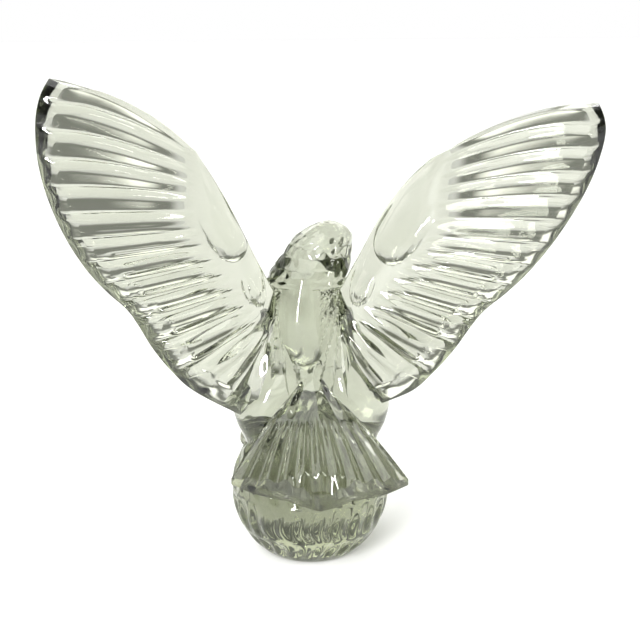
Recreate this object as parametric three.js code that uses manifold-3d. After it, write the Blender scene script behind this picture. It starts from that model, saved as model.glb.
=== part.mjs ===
// Clear glass eagle that grips a ball, cast in one piece. It faces +Y, with its wings raised and swept back.
// Millimetres, +Z up, origin at the centre of the flat that the ball stands on.
import * as THREE from 'three';
import Module from 'manifold-3d';
import { mergeVertices } from 'three/addons/utils/BufferGeometryUtils.js';

// Driving sizes
const ballRadius = 31.2;
const standRadius = 17; // of the flat ground under the ball
const legRise = 54; // from the ball's top to the shoulders
const wingChord = 116.4; // from the shoulder to the wing tip
const wingThickness = 9.5;
const wingSweep = 22; // degrees that both wings are swept back
// Each wing's shoulder is at root along x and the wing is raised so many degrees. The rest sets its outline:
// arch scales the leading edge, shoulderBow bows it, tipRise lifts the tip and fullness swells the lower rim.
const leftWing = {
  side: -1, root: -16.4, raise: 43.6, arch: 0.92, shoulderBow: -0.012, tipRise: 0, fullness: 0.11,
};
const rightWing = {
  side: 1, root: 13.9, raise: 36.2, arch: 1.08, shoulderBow: 0.008, tipRise: 0.013, fullness: -0.15,
};
const shoulderBack = 6; // from the ball's middle
const wingFeathers = 13;
const tailLength = 50;
const tailHalfWidth = 33;
const tailThickness = 10.6; // at the middle of its end face
const tailDrop = 41; // degrees below level
const tailTilt = 2.4; // degrees that its left side is higher
const rumpBack = 9; // from the ball's middle
const rumpAside = 0.4; // towards the left
const tailFeathers = 10;
const headTurn = 35; // degrees towards its right

const degrees = THREE.MathUtils.degToRad;
const mix = THREE.MathUtils.lerp;
const smooth = THREE.MathUtils.smoothstep;
const ballCentre = Math.sqrt(ballRadius ** 2 - standRadius ** 2);
const ballTop = ballCentre + ballRadius;
const shoulderHeight = ballTop + legRise;
const rise = (share) => ballTop + share * legRise; // a height on the body, as a share from ball to shoulder

const wasm = await Module();
wasm.setup();

// A closed mesh from rings of points, each end closed by a fan
function loft(rings) {
  const sides = rings[0].length;
  const points = rings.flat();
  const faces = [];
  for (let i = 0; i + 1 < rings.length; i++) {
    for (let j = 0; j < sides; j++) {
      const a = i * sides + j;
      const b = i * sides + ((j + 1) % sides);
      faces.push(a, b, b + sides, a, b + sides, a + sides);
    }
  }
  const ends = [[rings[0], 0, true], [rings.at(-1), (rings.length - 1) * sides, false]];
  for (const [ring, first, start] of ends) {
    const middle = points.length;
    points.push(ring.reduce((sum, p) => sum.add(p), new THREE.Vector3()).divideScalar(sides));
    for (let j = 0; j < sides; j++) {
      const a = first + j;
      const b = first + ((j + 1) % sides);
      faces.push(...(start ? [b, a, middle] : [a, b, middle]));
    }
  }
  return solid(points, faces);
}

// A closed slab between two grids of points, back(i, j) and front(i, j), joined round their rims
function slab(columns, rows, back, front) {
  const points = [];
  const faces = [];
  const at = (layer, i, j) => layer * columns * rows + i * rows + j;
  for (const grid of [back, front]) {
    for (let i = 0; i < columns; i++) {
      for (let j = 0; j < rows; j++) points.push(grid(i, j));
    }
  }
  for (let i = 0; i + 1 < columns; i++) {
    for (let j = 0; j + 1 < rows; j++) {
      for (const [layer, turn] of [[0, false], [1, true]]) {
        const corner = [at(layer, i, j), at(layer, i + 1, j), at(layer, i + 1, j + 1), at(layer, i, j + 1)];
        if (turn) corner.reverse();
        const [a, b, c, d] = corner;
        faces.push(a, b, c, a, c, d);
      }
    }
  }
  const rim = [];
  for (let i = 0; i < columns; i++) rim.push([i, 0]);
  for (let j = 1; j < rows; j++) rim.push([columns - 1, j]);
  for (let i = columns - 2; i >= 0; i--) rim.push([i, rows - 1]);
  for (let j = rows - 2; j > 0; j--) rim.push([0, j]);
  rim.forEach(([i, j], k) => {
    const [m, n] = rim[(k + 1) % rim.length];
    faces.push(at(0, m, n), at(0, i, j), at(1, i, j), at(0, m, n), at(1, i, j), at(1, m, n));
  });
  return solid(points, faces);
}

function solid(points, faces) {
  const geometry = new THREE.BufferGeometry();
  geometry.setAttribute('position', new THREE.Float32BufferAttribute(points.flatMap((p) => p.toArray()), 3));
  geometry.setIndex(faces);
  return manifold(geometry);
}

function manifold(source) {
  let geometry = source.clone();
  geometry.deleteAttribute('normal');
  geometry.deleteAttribute('uv');
  geometry = mergeVertices(geometry, 1e-4);
  const place = geometry.attributes.position;
  const index = geometry.index.array;
  const corners = [0, 1, 2].map(() => new THREE.Vector3());
  const kept = [];
  let volume = 0;
  for (let i = 0; i < index.length; i += 3) {
    const triple = [index[i], index[i + 1], index[i + 2]];
    if (new Set(triple).size < 3) continue;
    kept.push(triple);
    corners.forEach((p, k) => p.fromBufferAttribute(place, triple[k]));
    volume += corners[0].dot(corners[1].clone().cross(corners[2]));
  }
  const outward = volume < 0 ? kept.map(([a, b, c]) => [a, c, b]) : kept;
  const mesh = new wasm.Mesh({
    numProp: 3, vertProperties: new Float32Array(place.array), triVerts: new Uint32Array(outward.flat()),
  });
  return new wasm.Manifold(mesh);
}

// Smooth values through knots of [position, value, ...]
function through(knots, at) {
  const last = knots.length - 1;
  let k = 0;
  while (k < last - 1 && knots[k + 1][0] <= at) k++;
  const s = THREE.MathUtils.clamp((at - knots[k][0]) / (knots[k + 1][0] - knots[k][0]), 0, 1);
  return knots[0].slice(1).map((_, n) => {
    const value = (m) => knots[THREE.MathUtils.clamp(m, 0, last)][n + 1];
    const [p, a, b, q] = [value(k - 1), value(k), value(k + 1), value(k + 2)];
    return a + 0.5 * s * (b - p + s * (2 * p - 5 * a + 4 * b - q + s * (3 * (a - b) + q - p)));
  });
}

function ellipse(centre, across, along, halfAcross, halfAlong, sides) {
  return Array.from({ length: sides }, (_, i) => {
    const turn = (2 * Math.PI * i) / sides;
    return centre.clone()
      .addScaledVector(across, halfAcross * Math.cos(turn))
      .addScaledVector(along, halfAlong * Math.sin(turn));
  });
}

const right = new THREE.Vector3(1, 0, 0);
const forward = new THREE.Vector3(0, 1, 0);
const up = new THREE.Vector3(0, 0, 1);

// Wing plan, in shares of the chord: u towards the tip, v towards the leading edge
const leading = [ // from the wrist in to the root
  [0, 0.47, 0.155], [0.2, 0.39, 0.143], [0.4, 0.29, 0.118], [0.6, 0.185, 0.081], [0.8, 0.08, 0.036],
  [1, -0.06, -0.02],
];
const trailing = [ // from the tip round to the lower inner corner
  [0, 1, 0], [0.05, 0.986, -0.052], [0.12, 0.945, -0.112], [0.22, 0.862, -0.186], [0.32, 0.762, -0.247],
  [0.43, 0.64, -0.3], [0.54, 0.515, -0.336], [0.63, 0.41, -0.351], [0.71, 0.318, -0.356],
  [0.77, 0.25, -0.373], [0.84, 0.155, -0.404], [0.9, 0.05, -0.425], [0.95, -0.06, -0.432],
  [1, -0.25, -0.395],
];
const quillStart = [ // where the feathers leave the smooth shoulder of the wing
  [0, 0.53, 0.148], [0.15, 0.46, 0.09], [0.3, 0.4, 0.03], [0.45, 0.31, -0.035], [0.6, 0.2, -0.07],
  [0.75, 0.08, -0.095], [0.9, -0.05, -0.12], [1, -0.12, -0.15],
];
const outerBow = 0.07; // of the leading edge beyond the wrist
const innerBowShare = 0.03; // of the inmost feathers, the other way
const tipSpanShare = 0.08; // share of the feathers over which the tip lifts
const quillShare = 0.36; // of each row, from the leading edge to where the feathers start
const quillGrowthShares = [-0.05, 0.3]; // from there, the shares of a row over which their relief rises
const plateTaper = 0.25;
const edgeShare = 0.04; // of the leading edge, as the square of a share of the plate's
const edgeRoundShare = 0.25; // share of a row over which it rounds up to the plate
const rimInset = { tip: 2.6, corner: 5 }; // how far the back's rim stands inside the front's
const tipNotch = 2; // between the ends of two feathers
const wingCup = 9.6;
const cupMiddleShare = 0.4; // share of a row
const wingFlare = 6;
const quillHeight = 1.6;
const frontReliefShare = 0.5; // of the height at the back
const ridgeShares = [ // across each feather: middle, half width and share of the height
  [0, 0.34, 1], [0.6, 0.2, 0.75],
];
const lobes = [ // smooth raised coverts: centre, half length, half width, turn, height
  { u: 0.3, v: 0.052, long: 0.175, wide: 0.073, turn: 22, height: 2 },
  { u: 0.05, v: -0.035, long: 0.082, wide: 0.036, turn: 38, height: 1.7 },
];

function bowed(from, to, bow, t) {
  const [du, dv] = [to[0] - from[0], to[1] - from[1]];
  const lift = (2 * bow * t * (1 - t)) / Math.hypot(du, dv);
  return [from[0] + du * t - dv * lift, from[1] + dv * t + du * lift];
}

function wingPlan(s, t, { arch, shoulderBow, tipRise, fullness }) {
  const lead = through(leading, s);
  const quill = through(quillStart, s);
  lead[1] = lead[1] * arch + shoulderBow * Math.sin(Math.PI * s);
  quill[1] *= mix(1, arch, smooth(quill[1], -0.1, 0.15));
  if (t < quillShare) return [mix(lead[0], quill[0], t / quillShare), mix(lead[1], quill[1], t / quillShare)];
  const end = through(trailing, s);
  const wide = 1 + fullness * Math.max(0, end[0] + 0.05);
  const bow = outerBow * Math.max(0, 1 - 2.5 * s) - innerBowShare * Math.max(0, s - 0.5);
  const corner = [end[0], end[1] * wide + tipRise * (1 - smooth(s, 0, tipSpanShare))];
  return bowed(quill, corner, bow, (t - quillShare) / (1 - quillShare));
}

// Each feather is a wide ridge where it overlaps the next, a hollow, and a narrow shaft
function quillRelief(s, t) {
  const phase = (s * wingFeathers) % 1;
  const heights = ridgeShares.map(([middle, half, share]) => {
    const away = Math.abs(phase - middle);
    return share * Math.max(0, 1 - Math.min(away, 1 - away) / half);
  });
  const [start, end] = quillGrowthShares;
  return quillHeight * smooth(t, quillShare + start, quillShare + end) * Math.max(...heights);
}

function lobeRelief(u, v) {
  return Math.max(0, ...lobes.map((lobe) => {
    const [c, s] = [Math.cos(degrees(lobe.turn)), Math.sin(degrees(lobe.turn))];
    const along = ((u - lobe.u) * c + (v - lobe.v) * s) / lobe.long;
    const across = ((v - lobe.v) * c - (u - lobe.u) * s) / lobe.wide;
    return lobe.height * Math.sqrt(Math.max(0, 1 - along ** 2 - across ** 2));
  }));
}

function makeWing(wing) {
  const { side, root, raise } = wing;
  const featherSteps = 4;
  const columns = wingFeathers * featherSteps + 1;
  const rows = [0, 0.1, 0.22, quillShare, 0.5, 0.75, 0.985, 1];
  const [sweepCos, sweepSin] = [Math.cos(degrees(wingSweep)), Math.sin(degrees(wingSweep))];
  const [raiseCos, raiseSin] = [Math.cos(degrees(raise)), Math.sin(degrees(raise))];
  const outward = new THREE.Vector3(side * sweepCos, -sweepSin, 0);
  const backward = new THREE.Vector3(-side * sweepSin, -sweepCos, 0);
  const alongChord = outward.clone().multiplyScalar(raiseCos).addScaledVector(up, raiseSin);
  const towardLead = outward.clone().multiplyScalar(-raiseSin).addScaledVector(up, raiseCos);
  const shoulder = new THREE.Vector3(root, -shoulderBack, shoulderHeight);
  const place = (i, j, back) => {
    const [s, t] = [i / (columns - 1), rows[j]];
    const [u, v] = wingPlan(s, t, wing);
    const rounded = Math.sqrt(Math.min(1, edgeShare + t / edgeRoundShare));
    const half = 0.5 * wingThickness * (1 - plateTaper * Math.max(0, u)) * rounded;
    const middle = wingFlare * Math.max(0, u) ** 2 - wingCup * (t - cupMiddleShare) ** 2;
    const relief = j > 0 ? lobeRelief(u, v) + quillRelief(s, t) : 0;
    const inward = new THREE.Vector2(...through(quillStart, s)).sub(new THREE.Vector2(u, v)).normalize();
    const notch = i % featherSteps === 0 ? tipNotch : 0;
    const rim = (mix(rimInset.tip, rimInset.corner, s) + notch) / wingChord;
    const inset = back ? rim * smooth(t, 0.8, 1) : 0;
    return shoulder.clone()
      .addScaledVector(alongChord, (u + inward.x * inset) * wingChord)
      .addScaledVector(towardLead, (v + inward.y * inset) * wingChord)
      .addScaledVector(backward, back ? middle + half + relief : middle - half - frontReliefShare * relief);
  };
  return slab(columns, rows.length, (i, j) => place(i, j, true), (i, j) => place(i, j, false));
}

// Torso, and the smooth spindle that stands out of its back between the wings
const torso = [ // share of the rise, centre x, centre y, half width, half depth
  [-0.06, 0, 2, 9, 9], [0.06, 0, 3, 16.5, 13.5], [0.22, 0, 4.2, 19.5, 16], [0.42, -0.5, 5, 21, 18.4],
  [0.62, -1, 5, 21, 18.8], [0.8, -1.3, 4.6, 18.6, 17], [0.95, -1.5, 3.6, 15, 14], [1.08, -1, 3, 12, 12],
];
const spine = [
  [0.36, -2.9, -9, 1.5, 2.5], [0.41, -2.8, -8, 5.2, 6.5], [0.49, -2.7, -7, 7.7, 8.8],
  [0.58, -3.6, -6.5, 9.2, 10.2], [0.73, -4.3, -6, 9.1, 10.8], [0.88, -4, -5.5, 8.1, 10.2],
  [1.03, -2.8, -5, 7.1, 9],
];

function stack(knots, sides, rings) {
  const [low, high] = [knots[0][0], knots.at(-1)[0]];
  return loft(Array.from({ length: rings }, (_, i) => {
    const share = mix(low, high, i / (rings - 1));
    const [x, y, halfWidth, halfDepth] = through(knots, share);
    return ellipse(new THREE.Vector3(x, y, rise(share)), right, forward, halfWidth, halfDepth, sides);
  }));
}

// Head: hackles that flare to a collar over the shoulders, a brow, two eyes and a hooked beak
const crownRise = 20.6;
const face = new THREE.Vector3(Math.sin(degrees(headTurn)), Math.cos(degrees(headTurn)), 0);
const cheek = new THREE.Vector3(Math.cos(degrees(headTurn)), -Math.sin(degrees(headTurn)), 0);
const headAside = 4.5; // towards the right, from the ball's middle
const headAhead = 5;
const headCentre = new THREE.Vector3(headAside, headAhead, shoulderHeight + 0.5 * crownRise);
const hackles = [ // share of the crown's rise, centre x, centre y, half width, half depth
  [-0.2, -1, 1, 11.5, 11], [-0.12, -1, 0.5, 15.3, 14.4], [0, -0.8, 0.8, 15.1, 14.4],
  [0.18, 1.2, 2.4, 14.7, 14], [0.4, 3.5, 4, 13.1, 13.2], [0.63, 5.2, 5, 11.6, 12.4],
  [0.78, 6.5, 5.2, 9.6, 11], [0.9, 7.2, 5.2, 6.4, 7.8], [0.97, 7.4, 5.2, 3.6, 4.4], [1, 7.4, 5.2, 1.2, 1.6],
];
const beak = [ // ahead of the head's centre, up, half width, half height
  [6.5, 0.4, 5.6, 5.6], [11.5, 0.6, 4.8, 5], [15, -0.4, 3.6, 3.9], [17.4, -3, 2.2, 2.6],
  [17.9, -6.4, 0.6, 0.7],
];
const jaw = [[6.5, -4.6, 3.8, 2.2], [11, -5, 2.8, 1.8], [14.4, -4.8, 1, 0.9]];
const brow = [ // ahead, aside, up, half width
  [-1, 5.8, 3.6, 2], [3.4, 7.2, 4, 3.2], [8, 6.4, 3.4, 3.4], [11.6, 4, 2.2, 1.2],
];
const eye = { radius: 2.3, ahead: 8.2, aside: 6.8, up: 0.6 };
const collarRag = 0.9; // up and down along the collar's edge

function makeHead() {
  const crest = loft(hackles.map(([share, x, y, halfWidth, halfDepth], i) => {
    const turn = smooth(share, 0, 0.6);
    const across = right.clone().lerp(cheek, turn).normalize();
    const along = forward.clone().lerp(face, turn).normalize();
    const centre = new THREE.Vector3(x, y, shoulderHeight + share * crownRise);
    const ragged = i === 1 || i === 2 ? collarRag : 0;
    return ellipse(centre, across, along, halfWidth, halfDepth, 24)
      .map((p, k) => p.addScaledVector(up, k % 2 ? ragged : -ragged));
  }));
  const at = (ahead, aside, high) => headCentre.clone()
    .addScaledVector(face, ahead).addScaledVector(cheek, aside).addScaledVector(up, high);
  const horn = (path) => loft(path.map(([ahead, high, halfWidth, halfHeight], i) => {
    const [next, last] = [path[Math.min(i + 1, path.length - 1)], path[Math.max(i - 1, 0)]];
    const along = face.clone()
      .multiplyScalar(next[0] - last[0])
      .addScaledVector(up, next[1] - last[1])
      .normalize();
    return ellipse(at(ahead, 0, high), cheek, along.cross(cheek), halfWidth, halfHeight, 10);
  }));
  const browRidge = (side) => loft(brow.map(([ahead, aside, high, half]) =>
    ellipse(at(ahead, side * aside, high), cheek, up, half, half * 0.7, 8)));
  const eyeball = (side) => {
    const globe = new THREE.SphereGeometry(eye.radius, 10, 8);
    globe.translate(...at(eye.ahead, side * eye.aside, eye.up).toArray());
    return manifold(globe);
  };
  return [crest, horn(beak), horn(jaw), browRidge(-1), browRidge(1), eyeball(-1), eyeball(1)];
}

// Tail: a fan that is thick along its middle. Its coverts are a hooded shell that ends in a scalloped step
const tailRootWidth = 4.5;
const tailRootDepth = 7;
const tailSwell = 2; // of its sides, halfway down
const tailCurveShare = 0.09; // share of the length by which its corners are shorter
const tailCrown = 2; // its middle over its sides
const cornerThickness = 2.2;
const endTaperPower = 1.4; // power by which the end face thins towards the corners
const coverts = 0.5; // share of the length that the coverts reach
const covertStep = 1.3;
const hoodHeight = 1.6;
const tailQuill = 1;
const tailGrooveShare = 0.2; // height between two quills, as a share of theirs
const endFacet = { reach: 0.93, halfWidth: 12.4, depth: 6.4 }; // the three-cornered facet cut into its end

function makeTail() {
  const featherSteps = 3;
  const columns = tailFeathers * featherSteps + 1;
  const rows = [0, 0.14, 0.3, coverts - 0.02, coverts + 0.02, 0.72, endFacet.reach, 1];
  const [dropCos, dropSin] = [Math.cos(degrees(tailDrop)), Math.sin(degrees(tailDrop))];
  const rump = new THREE.Vector3(-rumpAside, -rumpBack, rise(0.3));
  const place = (i, j, top) => {
    const [across, t] = [(2 * i) / (columns - 1) - 1, rows[j]];
    const wide = mix(tailRootWidth, tailHalfWidth, t) + tailSwell * Math.sin(Math.PI * t);
    const x = across * wide;
    const reach = t * tailLength * (1 - tailCurveShare * across ** 2);
    const crown = tailCrown * (1 - across ** 2);
    const ridge = i % featherSteps === 0 ? 1 : tailGrooveShare;
    const length = smooth(t, 0, 0.1) * (1 - smooth(t, 0.34, coverts));
    const hood = hoodHeight * smooth(Math.abs(across), 0.45, 0.8) * length;
    const quill = t > coverts ? ridge * tailQuill : covertStep + hood;
    const facet = t === 1 ? endFacet.depth * Math.max(0, 1 - Math.abs(x) / endFacet.halfWidth) : 0;
    const high = crown + quill * Math.min(1, 6 * (1 - Math.abs(across))) - facet;
    const end = mix(cornerThickness, tailThickness, 1 - Math.abs(across) ** endTaperPower);
    const deep = mix(tailRootDepth, end, Math.sqrt(t));
    const lean = -reach * dropSin - x * Math.tan(degrees(tailTilt));
    return rump.clone()
      .addScaledVector(right, x)
      .addScaledVector(forward, -reach * dropCos)
      .addScaledVector(up, lean + (top ? high : crown - deep));
  };
  return slab(columns, rows.length, (i, j) => place(i, j, true), (i, j) => place(i, j, false));
}

// Thighs, and toes that follow the ball and end in talons
const thigh = [ // share of the rise, distance from the middle, forward, half width, half depth
  [-0.42, 17.5, 3, 4.5, 6], [-0.3, 17.8, 2.5, 7, 8.5], [-0.2, 17.6, 2, 9.2, 10.5],
  [-0.1, 17.2, 2, 12.2, 12.5], [0.04, 16.7, 2.5, 14.3, 14], [0.2, 14.5, 3, 14, 14], [0.36, 11, 4, 9, 10],
];
const thighMiddle = 0.8; // aside from the ball's middle
const toeRadius = 3.4;
const talonShare = 0.72; // of a toe's length where its talon starts
const talonPoint = 0.5; // radius at its tip
const knuckleCount = 2.5; // along each toe
const toes = [ // where each toe starts and ends on the ball: down from the top, and round from the front
  { from: [42, 46], to: [70, 9] }, { from: [46, 53], to: [80, 27] },
  { from: [46, 60], to: [76, 46] }, { from: [44, 128], to: [66, 156] },
];

function makeLeg(side) {
  const leg = loft(thigh.map(([share, aside, ahead, halfWidth, halfDepth]) => {
    const middle = new THREE.Vector3(thighMiddle + side * aside, ahead, rise(share));
    return ellipse(middle, right, forward, halfWidth, halfDepth, 16);
  }));
  const onBall = (down, round, out) => {
    const [polar, turn] = [degrees(down), degrees(round)];
    const level = out * Math.sin(polar);
    const height = ballCentre + out * Math.cos(polar);
    return new THREE.Vector3(side * level * Math.sin(turn), level * Math.cos(turn), height);
  };
  const rings = 8;
  const made = toes.map(({ from, to }) => {
    const centre = (t) => {
      const bent = 0.5 * Math.abs(Math.sin(knuckleCount * Math.PI * t));
      const knuckle = 0.25 + bent - 3 * Math.max(0, t - talonShare);
      return onBall(mix(from[0], to[0], t), mix(from[1], to[1], t), ballRadius + toeRadius * knuckle);
    };
    return loft(Array.from({ length: rings }, (_, i) => {
      const t = i / (rings - 1);
      const middle = centre(t);
      const along = centre(t + 0.02).sub(centre(t - 0.02)).normalize();
      const outward = middle.clone().setZ(middle.z - ballCentre).normalize();
      const across = along.clone().cross(outward).normalize();
      const toward = (t - talonShare) / (1 - talonShare);
      const radius = toward < 0 ? toeRadius * (1.05 - 0.25 * t) : mix(toeRadius * 0.75, talonPoint, toward);
      return ellipse(middle, across, across.clone().cross(along), radius, radius, 8);
    }));
  });
  return [leg, ...made];
}

// Ball, with the flat that it stands on
function makeBall() {
  const start = Math.asin(standRadius / ballRadius);
  const steps = 13;
  const profile = [new THREE.Vector2(0, 0)];
  for (let i = 0; i <= steps; i++) {
    const angle = mix(start, Math.PI, i / steps);
    const level = i === steps ? 0 : ballRadius * Math.sin(angle);
    profile.push(new THREE.Vector2(level, i === 0 ? 0 : ballCentre - ballRadius * Math.cos(angle)));
  }
  const geometry = new THREE.LatheGeometry(profile, 32);
  geometry.rotateX(Math.PI / 2);
  return manifold(geometry);
}

const cast = [
  makeBall(), stack(torso, 20, 9), stack(spine, 14, 9), makeTail(), ...makeHead(),
  makeWing(leftWing), makeWing(rightWing), ...makeLeg(-1), ...makeLeg(1),
].reduce((whole, piece) => whole.add(piece));

const { vertProperties, triVerts, numProp } = cast.getMesh();
const geometry = new THREE.BufferGeometry();
const position = new Float32Array((vertProperties.length / numProp) * 3);
for (let i = 0; i < position.length; i++) position[i] = vertProperties[Math.floor(i / 3) * numProp + (i % 3)];
geometry.setAttribute('position', new THREE.BufferAttribute(position, 3));
geometry.setIndex(new THREE.BufferAttribute(new Uint32Array(triVerts), 1));
geometry.computeVertexNormals();

const crystal = new THREE.MeshStandardMaterial({
  color: 0xdfe6d8, roughness: 0.03, metalness: 0, transparent: true, opacity: 0.35,
});
const eagle = new THREE.Mesh(geometry, crystal);
eagle.name = 'eagle';

const model = new THREE.Group();
model.add(eagle);
export default model;
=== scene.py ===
"""Clear cast glass eagle on a ball, with a pale studio around it. Metres, +Z up, the eagle faces +Y."""

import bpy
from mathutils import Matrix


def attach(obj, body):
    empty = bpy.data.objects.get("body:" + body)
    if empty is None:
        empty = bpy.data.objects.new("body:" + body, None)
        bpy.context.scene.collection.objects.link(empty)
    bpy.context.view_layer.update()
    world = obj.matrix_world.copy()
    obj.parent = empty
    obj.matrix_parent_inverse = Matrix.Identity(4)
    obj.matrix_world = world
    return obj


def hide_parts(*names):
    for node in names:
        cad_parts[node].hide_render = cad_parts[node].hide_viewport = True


bl_info = {
    "name": "Crystal Eagle",
    "version": (1, 0, 0),
    "blender": (4, 5, 0),
    "location": "View3D > Sidebar > Crystal Eagle",
    "description": "Casts a clear glass eagle that grips a ball, and lights it on a pale studio floor",
    "category": "Add Mesh",
}

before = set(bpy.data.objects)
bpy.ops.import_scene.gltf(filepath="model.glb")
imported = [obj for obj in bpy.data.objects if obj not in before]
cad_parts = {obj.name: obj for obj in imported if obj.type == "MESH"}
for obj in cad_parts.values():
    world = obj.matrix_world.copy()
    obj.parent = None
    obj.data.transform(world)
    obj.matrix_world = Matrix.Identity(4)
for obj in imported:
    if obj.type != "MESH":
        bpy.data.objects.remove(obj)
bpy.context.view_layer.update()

import math

import bpy
import numpy as np
from bpy.props import FloatProperty, FloatVectorProperty, IntProperty, PointerProperty
from mathutils import Matrix, Vector

# Properties are in metres, and the tables and functions below work in millimetres.
MM = 0.001
RIGHT = np.array([1.0, 0.0, 0.0])
FORWARD = np.array([0.0, 1.0, 0.0])
UP = np.array([0.0, 0.0, 1.0])


# Sizes and colours that a user would change


class EagleSizes(bpy.types.PropertyGroup):
    """Sizes of the casting"""

    ball_radius: FloatProperty(
        name="Ball radius", description="Radius of the ball", default=0.0312, unit="LENGTH"
    )
    stand_radius: FloatProperty(
        name="Stand radius", description="Radius of the flat under the ball", default=0.017, unit="LENGTH"
    )
    leg_rise: FloatProperty(
        name="Leg rise", description="Height of the shoulders over the ball", default=0.054, unit="LENGTH"
    )
    crown_rise: FloatProperty(
        name="Crown rise", description="Height of the crown over the shoulders", default=0.0206,
        unit="LENGTH",
    )
    wing_chord: FloatProperty(
        name="Wing chord", description="From the shoulder to the wing tip", default=0.1164, unit="LENGTH"
    )
    wing_thickness: FloatProperty(
        name="Wing thickness", description="Thickness of the wing at its root", default=0.0095,
        unit="LENGTH",
    )
    wing_sweep: FloatProperty(
        name="Wing sweep", description="How far both wings are swept back", default=math.radians(22),
        unit="ROTATION",
    )
    wing_feathers: IntProperty(name="Wing feathers", description="Feathers on each wing", default=13)
    quill_height: FloatProperty(
        name="Quill height", description="Height of the ridges on the wings", default=0.0023, unit="LENGTH"
    )
    tail_length: FloatProperty(
        name="Tail length", description="Length of the tail", default=0.05, unit="LENGTH"
    )
    tail_half_width: FloatProperty(
        name="Tail half width", description="Half of the tail's width at its end", default=0.033,
        unit="LENGTH",
    )
    tail_thickness: FloatProperty(
        name="Tail thickness", description="Height of the tail's end face", default=0.0106, unit="LENGTH"
    )
    tail_drop: FloatProperty(
        name="Tail drop", description="How steeply the tail falls", default=math.radians(41),
        unit="ROTATION",
    )
    tail_tilt: FloatProperty(
        name="Tail tilt", description="How much higher its left side is", default=math.radians(2.4),
        unit="ROTATION",
    )
    tail_feathers: IntProperty(name="Tail feathers", description="Feathers in the tail", default=10)
    head_turn: FloatProperty(
        name="Head turn", description="How far the head looks to its right", default=math.radians(35),
        unit="ROTATION",
    )
    plume_height: FloatProperty(
        name="Plume height", description="Height of the small feathers", default=0.0005, unit="LENGTH"
    )


class GlassLook(bpy.types.PropertyGroup):
    """Look of the glass"""

    tint: FloatVectorProperty(
        name="Tint", description="Colour of the surface", subtype="COLOR", size=3,
        default=(0.62, 0.63, 0.57),
    )
    # Painted shade: the ball and the lowest parts take this darker colour for the dimmer light under the
    # eagle, and partly for their thick glass
    ball_shade_tint: FloatVectorProperty(
        name="Ball tint", description="Colour of the ball's surface", subtype="COLOR", size=3,
        default=(0.44, 0.45, 0.365),
    )
    depth_tint: FloatVectorProperty(
        name="Depth tint", description="Colour of thick glass", subtype="COLOR", size=3,
        default=(0.62, 0.65, 0.53),
    )
    depth_density: FloatProperty(
        name="Depth density", description="Absorption in each metre", default=32.0
    )
    index: FloatProperty(name="Index", description="Index of refraction", default=1.5)
    ripple: FloatProperty(
        name="Ripple", description="Height of the ripples left by the mould", default=0.00018, unit="LENGTH"
    )


class StageLook(bpy.types.PropertyGroup):
    """Look of the studio"""

    floor_colour: FloatVectorProperty(
        name="Floor", description="Colour of the floor", subtype="COLOR", size=3,
        default=(0.9, 0.9, 0.9),
    )
    sweep_colour: FloatVectorProperty(
        name="Sweep", description="Colour of the horizon", subtype="COLOR", size=3,
        default=(1.0, 1.0, 1.0),
    )
    room_colour: FloatVectorProperty(
        name="Room", description="Colour of the room above", subtype="COLOR", size=3,
        default=(0.24, 0.25, 0.21),
    )
    band_colour: FloatVectorProperty(
        name="Band", description="Light of the band over the horizon", size=3, default=(2.4, 2.4, 2.3)
    )
    ceiling_light: FloatProperty(
        name="Ceiling", description="Strength of the soft light overhead", default=2.5
    )
    azimuth: FloatProperty(
        name="Azimuth", description="Camera's angle round the eagle", default=math.radians(-6),
        unit="ROTATION",
    )
    elevation: FloatProperty(
        name="Elevation", description="Camera's angle above level", default=math.radians(14),
        unit="ROTATION",
    )
    distance: FloatProperty(
        name="Distance", description="Camera's distance", default=0.62, unit="LENGTH"
    )


# Curves, closed solids and their union


def mix(low, high, share):
    """The value at a share of the way from low to high."""
    return low + (high - low) * share


def smooth(value, low, high):
    """A share that grows softly from 0 to 1 as the value goes from low to high."""
    share = np.clip((value - low) / (high - low), 0, 1)
    return share * share * (3 - 2 * share)


def through(knots, at):
    """Smooth values through knots of (position, value, ...), one row for each position asked."""
    knots = np.array(knots, float)
    at = np.atleast_1d(at)
    last = len(knots) - 1
    k = np.clip(np.searchsorted(knots[:, 0], at, side="right") - 1, 0, last - 1)
    s = np.clip((at - knots[k, 0]) / (knots[k + 1, 0] - knots[k, 0]), 0, 1)[:, None]
    p, a, b, q = (knots[np.clip(k + step, 0, last), 1:] for step in (-1, 0, 1, 2))
    return a + 0.5 * s * (b - p + s * (2 * p - 5 * a + 4 * b - q + s * (3 * (a - b) + q - p)))


def loft(rings):
    """A closed solid from rings of points, an array of rings by sides by 3."""
    rings = np.asarray(rings, float)
    count, sides = rings.shape[:2]
    points = np.concatenate([rings.reshape(-1, 3), rings[0].mean(0)[None], rings[-1].mean(0)[None]])
    i, j = np.meshgrid(np.arange(count - 1), np.arange(sides), indexing="ij")
    a = (i * sides + j).ravel()
    b = (i * sides + (j + 1) % sides).ravel()
    faces = [np.stack([a, b, b + sides], 1), np.stack([a, b + sides, a + sides], 1)]
    first = np.arange(sides)
    after = (first + 1) % sides
    low = np.full(sides, count * sides)
    top = (count - 1) * sides
    faces.append(np.stack([after, first, low], 1))
    faces.append(np.stack([first + top, after + top, low + 1], 1))
    return outward(points, np.concatenate(faces))


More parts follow.
